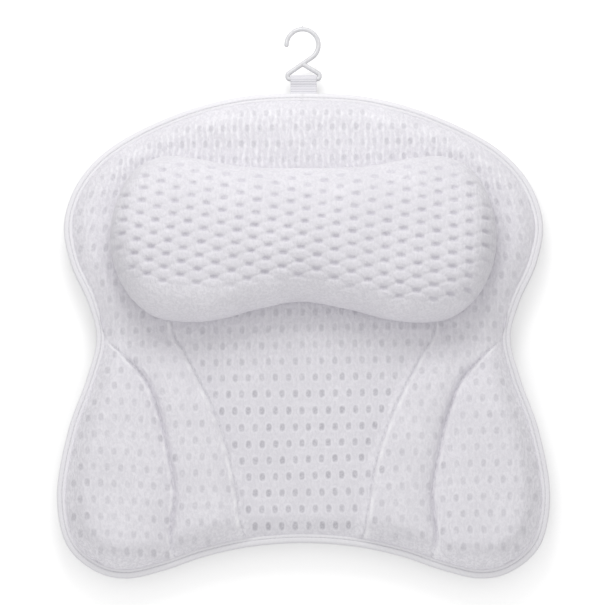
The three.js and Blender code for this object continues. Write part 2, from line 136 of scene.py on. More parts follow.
def ramp(low, high, run):
    """Smooth step between two places in millimetres."""
    return smooth_step(low * MM, high * MM, run)


def bell(value, width):
    """1 at 0, falling smoothly on both sides."""
    return np.exp(-((value / width) ** 2))


def unit(vectors):
    return vectors / np.linalg.norm(vectors, axis=-1, keepdims=True)


def run_along(points):
    """Length of a path up to each of its points."""
    return np.concatenate([[0], np.cumsum(np.linalg.norm(np.diff(points, axis=0), axis=1))])


def arc(centre_x, centre_y, radius, start, end, steps):
    angles = np.radians(np.linspace(start, end, steps))
    return [(centre_x + radius * math.cos(a), centre_y + radius * math.sin(a)) for a in angles]


def spline(places, values, at):
    """Cubic curve through values, with slopes from the neighbours on both sides."""
    places, values = np.array(places, float), np.array(values, float)
    slopes = np.gradient(values, places)
    index = np.clip(np.searchsorted(places, at, side="right") - 1, 0, len(places) - 2)
    step = places[index + 1] - places[index]
    t = (at - places[index]) / step
    return (
        (2 * t**3 - 3 * t**2 + 1) * values[index] + (t**3 - 2 * t**2 + t) * step * slopes[index]
        + (3 * t**2 - 2 * t**3) * values[index + 1] + (t**3 - t**2) * step * slopes[index + 1]
    )


def ripple(x, y, wavelength, seed, waves=9):
    """Smooth noise between about -1 and 1: a sum of seeded plane waves, their lengths about as
    many millimetres as given."""
    rng = np.random.default_rng(seed)
    total = np.zeros_like(x)
    for _ in range(waves):
        angle, phase = rng.uniform(0, TURN, 2)
        length = wavelength * MM * rng.uniform(0.7, 1.5)
        total += np.sin((x * math.cos(angle) + y * math.sin(angle)) * TURN / length + phase)
    return total / math.sqrt(2 * waves)


def patches(x, y, wavelength, seed):
    """The same noise between about 0 and 1."""
    return (1 + ripple(x, y, wavelength, seed)) / 2


def loop_ripple(share, turns, seed, waves=9):
    """Smooth noise that closes on itself, with about that many waves in the whole loop."""
    rng = np.random.default_rng(seed)
    total = np.zeros_like(share)
    for _ in range(waves):
        count, phase = round(turns * rng.uniform(0.65, 1.4)), rng.uniform()
        total += np.sin(TURN * (count * share + phase))
    return total / math.sqrt(2 * waves)


class Outline:
    """Closed smooth curve through half a list of shares and its mirror image."""

    def __init__(self, shares, half_width, length):
        right = np.array(shares, float) * (half_width, length)
        self.points = np.vstack([right, right[-2:0:-1] * (-1, 1)])
        self.count = len(self.points)
        self.half = len(right) - 1

    def curve(self, share):
        p = np.mod(share, 1) * self.count
        index = np.floor(p).astype(int)
        t = (p - index)[..., None]
        a, b, c, d = (self.points[(index + k) % self.count] for k in (-1, 0, 1, 2))
        gaps = [np.sqrt(np.linalg.norm(q - r, axis=-1))[..., None]
                for q, r in ((a, b), (b, c), (c, d))]
        start = (b - a) / gaps[0] - (c - a) / (gaps[0] + gaps[1]) + (c - b) / gaps[1]
        end = (c - b) / gaps[1] - (d - b) / (gaps[1] + gaps[2]) + (d - c) / gaps[2]
        start, end = start * gaps[1], end * gaps[1]
        return (
            b + start * t + (3 * (c - b) - 2 * start - end) * t**2
            + (2 * (b - c) + start + end) * t**3
        )

    def at(self, place, inset=0.0):
        """Points at places counted in the list's own points, moved inwards by an inset."""
        share = np.asarray(place, float) / self.count
        probe = 0.001
        direction = unit(self.curve(share + probe) - self.curve(share - probe))
        inwards = np.stack([direction[..., 1], -direction[..., 0]], -1)
        return self.curve(share) + inwards * np.asarray(inset)[..., None]

    def even(self, steps):
        """Places that part the whole curve into steps of equal length, and that whole length."""
        dense = np.linspace(0, self.count, 4001)
        run = run_along(self.at(dense))
        return np.interp(np.arange(steps) / steps * run[-1], run, dense), run[-1]


pad_outline = Outline(OUTLINE_SHARES, PAD_WIDTH / 2, PAD_LENGTH)
neck_outline = Outline(NECK_OUTLINE_SHARES, NECK_WIDTH / 2, NECK_DEPTH / 2)


# Meshes

def linked(name, data):
    """A new object of some data, in the scene."""
    made = bpy.data.objects.new(name, data)
    bpy.context.scene.collection.objects.link(made)
    return made


def make_object(name, points, faces, replaced=(), body="pad"):
    """Smooth-shaded mesh object that rides on a body, with faces as index arrays or lists."""
    mesh = bpy.data.meshes.new(name)
    groups = [np.asarray(group) for group in faces]
    flat = np.concatenate([group.ravel() for group in groups]).astype(np.int32)
    sizes = np.concatenate([np.full(len(group), group.shape[1]) for group in groups])
    mesh.vertices.add(len(points))
    mesh.vertices.foreach_set("co", np.asarray(points, np.float32).ravel())
    mesh.loops.add(len(flat))
    mesh.loops.foreach_set("vertex_index", flat)
    mesh.polygons.add(len(sizes))
    starts = np.concatenate([[0], np.cumsum(sizes)[:-1]]).astype(np.int32)
    mesh.polygons.foreach_set("loop_start", starts)
    mesh.polygons.foreach_set("use_smooth", np.ones(len(sizes), bool))
    mesh.update(calc_edges=True)
    mesh.validate()
    return settle(linked(name, mesh), replaced, body)


def settle(piece, replaced=(), body="pad"):
    """Rides a finished piece on its body and hides the imported parts that it replaces."""
    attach(piece, body)
    if replaced:
        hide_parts(*replaced)
    return piece


def grid_faces(rows, columns, first=0, wrap=False, flip=False):
    """Quads between rows of points, closed round the columns where wrap is true."""
    index = np.arange(rows * columns).reshape(rows, columns) + first
    if wrap:
        index = np.hstack([index, index[:, :1]])
    a, b, c, d = index[:-1, :-1], index[1:, :-1], index[1:, 1:], index[:-1, 1:]
    order = (d, c, b, a) if flip else (a, b, c, d)
    return np.stack([part.ravel() for part in order], 1)


def set_attribute(piece, name, values):
    attribute = piece.data.attributes.new(name, "FLOAT", "POINT")
    attribute.data.foreach_set("value", np.asarray(values, np.float32))


def set_fabric_map(piece, u, v):
    """UV map in counts of the fabric's own repeat."""
    layer = piece.data.uv_layers.new(name="fabric")
    index = np.empty(len(piece.data.loops), np.int32)
    piece.data.loops.foreach_get("vertex_index", index)
    layer.data.foreach_set("uv", np.stack([u[index], v[index]], 1).astype(np.float32).ravel())


# Front panel: the part's own patch of rows and columns, much denser, with the fabric's relief

HOLE_PITCH = 11.6 * MM
HOLE_ROW = 14.5 * MM
ROW_TILT = 0.02
TOP_HOLE_PITCH = 10.6 * MM
TOP_HOLE_ROW = 13.6 * MM
TOP_HOLE_PLACE = 195.6 * MM
HOLE_HALF_WIDTH = 0.2
HOLE_HALF_HEIGHT = 0.235
HOLE_SIDE_SHIFT = 1.4 * MM
HOLE_SHIFT = 11 * MM
RIB_SWAY = 0.08
CREASE_COLUMNS = 0.42
INNER_ROWS = 0.17
OUTER_ROWS = 0.37
LEFT_DROOP = 0.065
LEFT_CREASE = -118 * MM
CENTRE_CELLS = 48
INNER_CELLS = 52
OUTER_CELLS = 72
ROW_CELLS = 240
ROW_BIAS = 0.3
COARSE = 4
HOLE_POWER = 2.6
TUCK_RISE = 2.4 * MM
TUCK_RUN = 0.4 * MM
BORDER_LEVEL = 26.5 * MM
BORDER_RISE = 0.7 * MM
SEAM_SLOPE = 3.5 * MM
SEAM_WEB = 2.6 * MM
SEAM_WIDTH = 1.1 * MM
SEAM_DEPTH = 0.6 * MM
RIDGE_PLACE = 2.4 * MM
RIDGE_WIDTH = 1.5 * MM
RIDGE_HEIGHT = 0.5 * MM
GATHER_LENGTH = 7.5 * MM
GATHER_HEIGHT = 0.32 * MM
GATHER_REACH = 5 * MM
HEM_COUNT = 42
HEM_HEIGHT = 0.25 * MM
HEM_REACH = 6 * MM
PLEAT_LENGTH = 3.4 * MM
PLEAT_HEIGHT = 0.3 * MM
SOFT_DEPTH = 0.45 * MM
SOFT_REACH = 30 * MM
HOLE_DEPTH = 0.45 * MM
RIB_DEPTH = 0.14 * MM


def creases(along):
    """Places of the inner and the outer crease, as shares of half the pad's width there."""
    return [spline(CREASE_ROWS, table, along) for table in (INNER_CREASE, OUTER_CREASE)]


side_places = np.linspace(TOP_CORNER, BOTTOM_CORNER, 3001)
side_levels = pad_outline.at(side_places)[:, 1]


def patch_point(across, along, inset):
    """Points of the pad at shares across (-1 to 1) and along (0 to 1), its edge moved inwards."""
    share = np.abs(across)
    top = pad_outline.at(share * TOP_CORNER, inset)
    bottom = pad_outline.at(mix(pad_outline.half, BOTTOM_CORNER, share), inset)
    corners = [pad_outline.at(corner, inset) for corner in (TOP_CORNER, BOTTOM_CORNER)]
    level = mix(side_levels[0], side_levels[-1], along)
    side = pad_outline.at(np.interp(-level, -side_levels, side_places), inset)
    chord = mix(*corners, along[..., None])
    point = mix(top, bottom, along[..., None]) + (side - chord) * share[..., None]
    point[..., 0] *= np.where(across < 0, -1, 1)
    return point


def nearest(points, targets, chunk=2000):
    """Distance from each point to the nearest target."""
    return np.concatenate([
        np.linalg.norm(points[start:start + chunk, None] - targets[None], axis=2).min(1)
        for start in range(0, len(points), chunk)])


def crown(share):
    return np.maximum(1 - np.abs(2 * share - 1) ** CROWN_POWER, 0) ** (1 / CROWN_POWER)


def spaced(cells, bias):
    """Shares from 0 to 1, closer together at the ends the larger bias is."""
    share = np.arange(cells + 1) / cells
    return mix(share, (1 - np.cos(math.pi * share)) / 2, bias)


def front_grid():
    along = spaced(ROW_CELLS, ROW_BIAS)
    inner, outer = creases(along[:, None])
    half = np.hstack([
        np.sin(spaced(CENTRE_CELLS, 0) * math.pi / 2) ** 0.9 * inner,
        mix(inner, outer, spaced(INNER_CELLS, 0.5)[1:]),
        mix(outer, 1, spaced(OUTER_CELLS, 0.5)[1:]),
    ])
    across = np.hstack([-half[:, :0:-1], half])
    return across, np.repeat(along[:, None], across.shape[1], 1)


def front_height(across, along, point):
    """The part's own height of the front panel, its pads' rise, and how full they are there."""
    share = np.abs(across)
    rim = pad_outline.at(pad_outline.even(1600)[0], MESH_INSET)
    distance = nearest(point.reshape(-1, 2), rim).reshape(share.shape)
    roll = np.sin(math.pi / 2 * np.minimum(distance / EDGE_ROLL, 1))
    tuck = (1 - np.exp(-distance / TUCK_RUN)) * np.exp(-distance / EDGE_ROLL)
    shoulder = np.sqrt(1 - (1 - np.minimum(distance / PAD_EDGE_ROLL, 1)) ** 2)
    swell = np.sin(math.pi / 2 * np.clip((along - PAD_START) / (PAD_FULL - PAD_START), 0, 1))
    inner, outer = creases(along)
    inner_pad = INNER_PAD_RISE * crown(np.clip((share - inner) / (outer - inner), 0, 1))
    outer_pad = OUTER_PAD_RISE * crown(np.clip((share - outer) / (1 - outer), 0, 1))
    rise = np.where(share <= inner, 0, np.where(share <= outer, inner_pad, outer_pad))
    base = mix(FLANGE_TOP, FRONT_TOP, roll) + TUCK_RISE * tuck
    return base, rise * shoulder * swell, distance, swell


def nearest_hole(u, v):
    """Distances across and along from the nearest hole of the lattice, and its number."""
    best = None
    for number, (shift_u, shift_v) in enumerate(((0, 0), (0.5, 1))):
        column, row = np.floor(u - shift_u + 0.5), np.floor((v - shift_v + 1) / 2)
        du, dv = u - shift_u - column, v - shift_v - 2 * row
        found = (np.hypot(du, dv), du, dv, (column * 997 + row) * 2 + number)
        best = found if best is None else tuple(
            np.where(found[0] < best[0], new, old) for new, old in zip(found, best))
    return best[1:]


def hole_shape(du, dv, half_width, half_height):
    """1 in the middle of a hole, down to 0 at its rim, with slightly squared ends."""
    reach = np.abs(du / half_width) ** HOLE_POWER + np.abs(dv / half_height) ** HOLE_POWER
    return 1 - smooth_step(0.4, 1.25, reach ** (1 / HOLE_POWER))


def hole_strength(du, dv, numbers, fade, least, seed):
    """How open each hole is: one seeded share for the hole, times the fade at its middle."""
    order = np.argsort(np.hypot(du, dv).ravel())
    found, first = np.unique(numbers.ravel()[order], return_index=True)
    middles = order[first]
    share = np.random.default_rng(seed).uniform(least, 1, len(found)) * fade.ravel()[middles]
    return share[np.searchsorted(found, numbers.ravel())].reshape(du.shape)


def fabric_place(x, y, on_inner, on_outer):
    """The mesh's own columns and rows: closer together along the top edge, moved by the creases."""
    share = ramp(40, 150, y)
    level = y - ROW_TILT * x
    u = (x + HOLE_SIDE_SHIFT) / mix(HOLE_PITCH, TOP_HOLE_PITCH, share)
    droop = LEFT_DROOP * np.minimum(x - LEFT_CREASE, 0) * on_outer
    low = (level + droop + HOLE_SHIFT) / HOLE_ROW - INNER_ROWS * on_inner - OUTER_ROWS * on_outer
    high = 14 + (level - TOP_HOLE_PLACE) / TOP_HOLE_ROW
    lobe = ramp(95, 190, np.abs(x)) * ramp(20, 120, y)
    lobe = lobe * (y - 90 * MM) * 0.12 / HOLE_PITCH
    u = u + np.sign(x) * (lobe + CREASE_COLUMNS * on_outer) + 0.04 * ripple(x, y, 85, 41)
    return u, mix(low, high, share) + 0.035 * ripple(x, y, 75, 42)


def front_panel():
    across, along = front_grid()
    point = patch_point(across, along, MESH_INSET)
    base, rise, distance, swell = front_height(across, along, point)
    index = np.arange(across.size).reshape(across.shape)
    border = ring_of(index)
    x, y = point[..., 0], point[..., 1]

    # Distances from the creases, and the height before any relief
    width = np.abs(point[:, -1, 0])[:, None]
    share = np.abs(across)
    inner, outer = creases(along)
    slant = 1 / np.hypot(1, np.gradient(x, axis=0) / np.gradient(y, axis=0))
    to_inner, to_outer = [(share - crease) * width * slant for crease in (inner, outer)]
    to_crease = np.minimum(np.abs(to_inner), np.abs(to_outer))
    sewn = smooth_step(SEAM_START, SEAM_START + 0.02, along)
    web = SEAM_WEB * bell(to_crease, SEAM_SLOPE) * swell
    rise = rise * np.minimum(to_crease / SEAM_SLOPE, 1) ** 0.3
    height = np.maximum(base + np.cbrt(rise**3 + web**3), BORDER_LEVEL + BORDER_RISE)
    height.flat[border] = BORDER_LEVEL

    # Folds beside the creases and the tape
    # The seam mask sinks the crease and also paints shade into it
    seam_and_shade = bell(to_crease, SEAM_WIDTH) * sewn
    outwards = np.where(np.abs(to_inner) < np.abs(to_outer), to_inner, to_outer)
    # Ridge beside each crease: raised, and lighter in colour, partly as doubled cloth and partly as
    # a painted highlight
    ridge_and_highlight = bell(outwards - RIDGE_PLACE, RIDGE_WIDTH) * sewn
    ridge_and_highlight *= 0.62 + 0.38 * ripple(x, y, 13, 8)
    gathers = np.sin(TURN * y / GATHER_LENGTH + 2.6 * ripple(x, y, 45, 3))
    gathers *= patches(x, y, 30, 4) * np.exp(-to_crease / GATHER_REACH) * sewn * (1 - seam_and_shade)
    near_tape = ramp(0, 3, distance) * np.exp(-distance / HEM_REACH)
    hems = np.sin(TURN * (along + share) * HEM_COUNT + 2.6 * ripple(x, y, 40, 6))
    hems *= near_tape * patches(x, y, 45, 7)
    pleats = np.sin(TURN * distance / PLEAT_LENGTH + 3 * ripple(x, y, 50, 9))
    pleats *= near_tape * patches(x, y, 60, 10)
    soft = patches(x, y, 55, 5) * smooth_step(0, SOFT_REACH, distance)

    # Holes: open in the middle, half drawn shut on the pads and under the neck pillow
    past_inner, past_outer = [ramp(-3, 3, run) * sewn for run in (to_inner, to_outer)]
    u, v = fabric_place(x, y, past_inner * (1 - past_outer), past_outer)
    top_zone = ramp(108, 132, y)
    taut = ramp(-75, -5, y)
    on_pad = np.where(share > inner, swell, 0) * ramp(0, 9, to_crease)
    fade = smooth_step(0, 1, (distance - mix(1, 5, top_zone) * MM) / (mix(3, 5, top_zone) * MM))
    fade *= mix(1, ramp(2.2, 4.4, to_crease), sewn)
    du, dv, numbers = nearest_hole(u, v)
    strength = hole_strength(du, dv, numbers, fade, 0.68, 43) * mix(1, 0.62, on_pad)
    strength *= mix(1, 0.55 + 0.45 * patches(x, y, 60, 44), on_pad) * mix(1, 0.5, taut)
    holes = strength * hole_shape(du, dv, HOLE_HALF_WIDTH, HOLE_HALF_HEIGHT)
    # The ribbing mask sets the ribs' relief and also a painted highlight on them
    ribbing_and_highlight = np.maximum(top_zone, 0.4 * taut * (1 - on_pad)) * ramp(5, 11, distance)
    ribs = ribbing_and_highlight * np.cos(2 * TURN * (u - RIB_SWAY * np.cos(math.pi * v)))
    ribs *= 0.55 + 0.25 * np.cos(TURN * v) + 0.2 * ripple(x, y, 12, 48)
    # Painted light: lightens the fabric within about 16 mm of the tape, on the outer pads and along
    # the bottom edge, where the roll faces away from the light
    painted_edge_light = (1 - ramp(4, 16, distance)) * np.where(share > outer, swell, 0.5 * ramp(60, 120, -y))

    relief = RIDGE_HEIGHT * ridge_and_highlight - SEAM_DEPTH * seam_and_shade + GATHER_HEIGHT * gathers - SOFT_DEPTH * soft
    relief += HEM_HEIGHT * hems + PLEAT_HEIGHT * pleats - HOLE_DEPTH * holes - RIB_DEPTH * ribs
    relief *= ramp(0, 1.5, distance)
    relief.flat[border] = 0

    # The fabric's upper side, its coarser under side and the rim that closes them inside the tape
    top = np.stack([x, y + PAD_PLACE, height + relief], -1)
    coarse = slice(None, None, COARSE)
    under = np.stack([x, y + PAD_PLACE, height - PANEL_THICKNESS], -1)[coarse, coarse]
    low_index = np.arange(under[..., 0].size).reshape(under.shape[:2]) + index.size
    rim = patch_point(across, along, PANEL_INSET).reshape(-1, 2)[border]
    high_rim = np.arange(len(border)) + index.size + low_index.size
    low_rim = high_rim + len(border)
    points = np.vstack([top.reshape(-1, 3), under.reshape(-1, 3), at_level(rim, FLANGE_TOP),
                        at_level(rim, FLANGE_TOP - PANEL_THICKNESS)])
    faces = [grid_faces(*index.shape), grid_faces(*low_index.shape, index.size, flip=True),
             bridge(border, high_rim), bridge(high_rim, low_rim),
             fan_bridge(low_rim, ring_of(low_index))]
    piece = make_object("air_mesh_front", points, faces, ["front_panel"])
    hidden = points[index.size:]
    set_fabric_map(piece, np.concatenate([u.ravel(), hidden[:, 0] / HOLE_PITCH]),
                   np.concatenate([v.ravel(), (hidden[:, 1] - PAD_PLACE) / HOLE_ROW]))
    for name, values in (("openness", strength), ("ridge_and_highlight", ridge_and_highlight), ("seam_and_shade", seam_and_shade),
                         ("ribbing_and_highlight", ribbing_and_highlight), ("painted_edge_light", painted_edge_light)):
        set_attribute(piece, name, np.concatenate([values.ravel(), np.zeros(len(hidden))]))
    return piece


def at_level(flat, level):
    """Points of the pad's own plane, at a level above the floor."""
    return np.column_stack([flat + (0, PAD_PLACE), np.broadcast_to(level, len(flat))])


def ring_of(index):
    """Border of a grid of indices, clockwise from above."""
    return np.concatenate([index[0], index[1:, -1], index[-1, -2::-1], index[-2:0:-1, 0]])


def bridge(ring, other):
    """Quads between two rings of as many points."""
    return np.stack([ring, np.roll(ring, -1), np.roll(other, -1), other], 1)


def fan_bridge(dense, sparse):
    """Polygons between a ring and one that has a point for every few of its points."""
    step = len(dense) // len(sparse)
    closed = np.append(dense, dense[0])
    runs = np.stack([closed[k:len(dense) + k:step][:len(sparse)] for k in range(step + 1)], 1)
    return np.hstack([runs, np.roll(sparse, -1)[:, None], sparse[:, None]])


front = front_panel()


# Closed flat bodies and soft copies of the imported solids

def modify(piece, kind, **settings):
    """Adds a modifier, its settings given by name."""
    modifier = piece.modifiers.new(kind.lower(), kind)
    for name, value in settings.items():
        setattr(modifier, name, value)
    return modifier


def applied(piece):
    """Replaces a piece's mesh by what its modifiers make of it."""
    shown = piece.evaluated_get(bpy.context.evaluated_depsgraph_get())
    piece.data = bpy.data.meshes.new_from_object(shown)
    piece.modifiers.clear()
    return piece


def read(vectors, name):
    values = np.empty(len(vectors) * 3, np.float32)
    vectors.foreach_get(name, values)
    return values.reshape(-1, 3).astype(float)


def read_points(piece):
    return read(piece.data.vertices, "co")


def read_normals(piece):
    return read(piece.data.vertex_normals, "vector")


def write_points(piece, points):
    piece.data.vertices.foreach_set("co", np.asarray(points, np.float32).ravel())
    piece.data.update()


def remeshed(piece, voxel, smoothing):
    """Even quads over a piece, with its edges eased."""
    bound = bmesh.new()
    bound.from_mesh(piece.data)
    bmesh.ops.remove_doubles(bound, verts=bound.verts, dist=0.002 * MM)
    bound.to_mesh(piece.data)
    bound.free()
    modify(piece, "REMESH", mode="VOXEL", voxel_size=voxel, use_smooth_shade=True)
    modify(piece, "SMOOTH", iterations=smoothing)
    return applied(piece)


def copy_of(name, node, voxel, smoothing):
    """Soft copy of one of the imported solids."""
    piece = linked(name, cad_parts[node].data.copy())
    piece.data.materials.clear()
    return remeshed(piece, voxel, smoothing)


def pad_loop(inset, level, steps=480):
    places, _ = pad_outline.even(steps)
    return at_level(pad_outline.at(places, inset), level)


def back_panel():
    side = spaced(60, 0)
    across, along = np.meshgrid(np.hstack([-side[:0:-1], side]), spaced(120, 0.2))
    point = patch_point(across, along, PANEL_INSET)
    x, y = point[..., 0], point[..., 1]
    border = ring_of(np.arange(x.size).reshape(x.shape))
    sag = patches(x, y, 70, 11) * 0.4 * MM
    sag.flat[border] = 0
    under = np.stack([x, y + PAD_PLACE, BACK_LEVEL + sag], -1).reshape(-1, 3)
    faces = [grid_faces(*x.shape), grid_faces(*x.shape, x.size, flip=True),
             bridge(border, border + x.size)]
    piece = make_object("air_mesh_back", np.vstack([under + (0, 0, PANEL_THICKNESS), under]), faces,
                        ["back_panel"])
    set_fabric_map(piece, np.tile(x.ravel(), 2) / HOLE_PITCH, np.tile(y.ravel(), 2) / HOLE_ROW)
    set_attribute(piece, "openness", np.full(2 * x.size, 0.9))
    return piece


def spacer_core():
    rings = np.array([pad_loop(inset * MM, level * MM) for inset, level in (
        (14, 21.9), (14, 23.6), (22, 27), (38, 31.7), (44, 31.9))])
    count = rings.shape[1]
    last = (len(rings) - 1) * count + np.arange(count)
    faces = [grid_faces(len(rings), count, wrap=True), np.arange(count)[None], last[None, ::-1]]
    return make_object("spacer_mesh_core", rings.reshape(-1, 3), faces,
                       ["spacer_core"])


back_mesh = back_panel()
core = spacer_core()
foams = [settle(copy_of(f"{side}_{place}_foam_pad", f"{side}_{place}_foam", 4 * MM, 3),
                [f"{side}_{place}_foam"])
         for side in ("left", "right") for place in ("outer", "inner")]


# Edge tape and its stitches

TAPE_STEPS = 760
STITCH_INSET = 4.3 * MM


def tape_section():
    """The folded tape's section as [inset, level] in millimetres, from the lower lip round."""
    low, high = BINDING_BOTTOM / MM, BINDING_TOP / MM
    width, inner, lip = BINDING_WIDTH / MM, TAPE_THICKNESS / MM, TAPE_THICKNESS / 2 / MM
    groove = STITCH_INSET / MM
    bulge = [(2.9, 0.25), (groove - 0.7, 0.2), (groove, -0.55), (groove + 0.7, 0.2), (5.8, 0.25)]
    return np.array(
        arc(width - lip, low + lip, lip, 0, -90, 5) + [(i, low - 0.4 * b) for i, b in bulge[::-1]]
        + arc(2.6, low + 2.6, 2.6, -90, -180, 7) + arc(2.6, high - 2.6, 2.6, 180, 90, 7)
        + [(i, high + b) for i, b in bulge] + arc(width - lip, high - lip, lip, 90, 0, 5)
        + [(width - 1.5, high - inner)]
        + arc(inner + 1.2, high - inner - 1.2, 1.2, 90, 180, 5)
        + arc(inner + 1.2, low + inner + 1.2, 1.2, 180, 270, 5)
        + [(width - 1.5, low + inner)]
    ) * MM


def edge_tape():
    places, length = pad_outline.even(TAPE_STEPS)
    share = np.arange(TAPE_STEPS) / TAPE_STEPS
    section = tape_section()
    wander = 0.15 * MM * (1 + loop_ripple(share, 24, 21))
    gather = (1 + loop_ripple(share, 16, 22)) * loop_ripple(share, 170, 23)
    middle = (BINDING_BOTTOM + BINDING_TOP) / 2
    rings = []
    for inset, level in section:
        towards_lip = smooth_step(2 * MM, BINDING_WIDTH, inset)
        loop = pad_outline.at(places, inset + wander * towards_lip)
        lift = 0.12 * MM * gather * towards_lip * np.sign(level - middle)
        rings.append(at_level(loop, level + lift))
    index = np.arange(TAPE_STEPS * len(section)).reshape(TAPE_STEPS, -1)
    ahead = np.roll(index, -1, 0)
    faces = np.stack([part.ravel() for part in (
        index, np.roll(index, -1, 1), np.roll(ahead, -1, 1), ahead)], 1)
    piece = make_object("edge_tape", np.stack(rings, 1).reshape(-1, 3), [faces],
                        ["edge_binding"])
    set_fabric_map(piece, np.repeat(share * length, len(section)) / MM,
                   np.tile(run_along(section), TAPE_STEPS) / MM)
    # Painted shade in the tape's stitch groove
    groove_shade = (np.abs(section[:, 0] - STITCH_INSET) < 0.1 * MM).astype(float)
    set_attribute(piece, "groove", np.tile(groove_shade, TAPE_STEPS))
    return piece


tape = edge_tape()


STITCH_LENGTH = 2.7 * MM
STITCH_GAP = 0.9 * MM
STITCH_RADIUS = 0.28 * MM
STITCH_SINK = 0.35 * MM
STITCH_SIDES = 6
# Places along a stitch and its width there
STITCH_SHAPE = [(-1, 0.25), (-0.82, 0.75), (-0.4, 1), (0, 1), (0.4, 1), (0.82, 0.75), (1, 0.25)]


def stitching(name, paths):
    """Short rounded stitches along paths, their ends sunk into the cloth."""
    share, width = np.array(STITCH_SHAPE).T[:, :, None, None]
    angles = np.arange(STITCH_SIDES)[:, None] * TURN / STITCH_SIDES
    parts = []
    for path in paths:
        run = run_along(path)
        count = max(int(run[-1] / (STITCH_LENGTH + STITCH_GAP)), 1)
        middles = (np.arange(count) + 0.5) / count * run[-1]
        at = lambda place: np.stack([np.interp(place, run, path[:, k]) for k in range(3)], -1)
        forward = unit(at(middles + 0.4 * STITCH_LENGTH) - at(middles - 0.4 * STITCH_LENGTH))
        side = unit(np.cross(forward, (0, 0, 1.0)))
        axes = (at(middles), forward, side, np.cross(side, forward))
        centre, forward, side, up = (axis[:, None, None] for axis in axes)
        spine = centre + forward * share * STITCH_LENGTH / 2 - up * STITCH_SINK * share * share
        parts.append(spine + (side * np.cos(angles) + up * np.sin(angles)) * STITCH_RADIUS * width)
    points = np.concatenate(parts)
    rings = len(STITCH_SHAPE)
    ring = np.arange(STITCH_SIDES)[None]
    one = (grid_faces(rings, STITCH_SIDES, wrap=True, flip=True), ring[:, ::-1],
           ring + (rings - 1) * STITCH_SIDES)
    starts = (np.arange(len(points)) * rings * STITCH_SIDES)[:, None, None]
    faces = [(part + starts).reshape(-1, part.shape[1]) for part in one]
    return make_object(name, points.reshape(-1, 3), faces)


edge_loops = [pad_loop(STITCH_INSET, level, 1200)
              for level in (BINDING_TOP - 0.3 * MM, BINDING_BOTTOM + 0.1 * MM)]
edge_thread = stitching("edge_stitching", [np.vstack([loop, loop[:1]]) for loop in edge_loops])


def crease_paths():
    """The sewn lines on the front panel, read from its own columns."""
    half = CENTRE_CELLS + INNER_CELLS + OUTER_CELLS
    shape = (ROW_CELLS + 1, 2 * half + 1, 3)
    top = read_points(front)[:shape[0] * shape[1]].reshape(shape)
    first, last = np.searchsorted(spaced(ROW_CELLS, ROW_BIAS), (SEAM_START + 0.01, 0.985))
    return [top[first:last, half + side * step] + (0, 0, 0.15 * MM)
            for step in (CENTRE_CELLS, CENTRE_CELLS + INNER_CELLS) for side in (-1, 1)]


crease_thread = stitching("crease_stitching", crease_paths())


# Neck pillow

NECK_HOLE_PITCH = 28.8 * MM
NECK_HOLE_ROW = 5.85 * MM
NECK_HOLE_SHIFT = 13 * MM
NECK_ROW_SHIFT = 2.7 * MM
NECK_ROW_TILT = 0.066
NECK_ROW_BEND = 0.1
NECK_LEAN = 0.09
NECK_LEAN_BEND = 0.38
NECK_LEAN_PLACE = 17 * MM
NECK_HOLE_HALF_WIDTH = 0.15
NECK_HOLE_HALF_HEIGHT = 0.4
NECK_INSET = 0.8 * MM
NECK_PUFF_ROOM = 1.5 * MM
NECK_LEVELS = 60
NECK_SIDES = 300
NECK_PRESSURE = 4
NECK_SWELL = 4 * MM
CLOTH_FRAMES = 20
DIMPLE_DEPTH = 1.25 * MM
PUFF_HEIGHT = 0.75 * MM
SLANT_DEPTH = 0.6 * MM
SLANT_WIDTH = 0.1
DENT_DEPTH = 0.5 * MM
FILLING_GAP = 3 * MM


def inflate(piece, pinned, pressure, cap):
    """Blows a piece up a little as cloth, with some of its points held."""
    start = read_points(piece)
    group = piece.vertex_groups.new(name="held")
    group.add([int(index) for index in np.flatnonzero(pinned)], 1, "REPLACE")
    cloth = modify(piece, "CLOTH")
    cloth.settings.vertex_group_mass = "held"
    cloth.settings.use_pressure = True
    cloth.settings.uniform_pressure_force = pressure
    cloth.settings.effector_weights.gravity = 0
    cloth.settings.quality = 6
    cloth.point_cache.frame_start = 1
    cloth.point_cache.frame_end = CLOTH_FRAMES
    for number in range(1, CLOTH_FRAMES + 1):
        bpy.context.scene.frame_set(number)
    applied(piece)
    bpy.context.scene.frame_set(1)
    moved = read_points(piece) - start
    length = np.linalg.norm(moved, axis=1, keepdims=True)
    write_points(piece, start + moved * np.minimum(1, cap / np.maximum(length, 1e-9)))


def neck_form():
    """The cushion before its dimples: one dense skin, blown up a little as cloth."""
    inwards, rises = np.array(NECK_RINGS).T
    run = run_along(np.array(NECK_RINGS) * NECK_RING_SCALE)
    at = np.linspace(0, run[-1], NECK_LEVELS)
    loop = neck_outline.at(neck_outline.even(NECK_SIDES)[0], NECK_INSET)
    rings = []
    for inward, rise in zip(spline(run, inwards, at), spline(run, rises, at)):
        ring = mix(loop, loop * (NECK_SPINE, 0), inward)
        saddle = 1 - NECK_SADDLE * (1 - (ring[:, 0] / (NECK_WIDTH / 2)) ** 2)
        level = NECK_COVER_LEVEL + (NECK_COVER_HEIGHT - NECK_PUFF_ROOM) * rise * saddle
        rings.append(np.column_stack([ring + (0, NECK_PLACE), level]))
    faces = [grid_faces(NECK_LEVELS, NECK_SIDES, wrap=True), np.arange(NECK_SIDES)[None]]
    piece = make_object("neck_cushion", np.vstack(rings), faces,
                        ["neck_pillow_cover"])
    remeshed(piece, 5 * MM, 2)
    pinned = read_points(piece)[:, 2] < NECK_COVER_LEVEL + 3 * MM
    inflate(piece, pinned, NECK_PRESSURE, NECK_SWELL)
    modify(piece, "SUBSURF", levels=2, render_levels=2)
    return applied(piece)


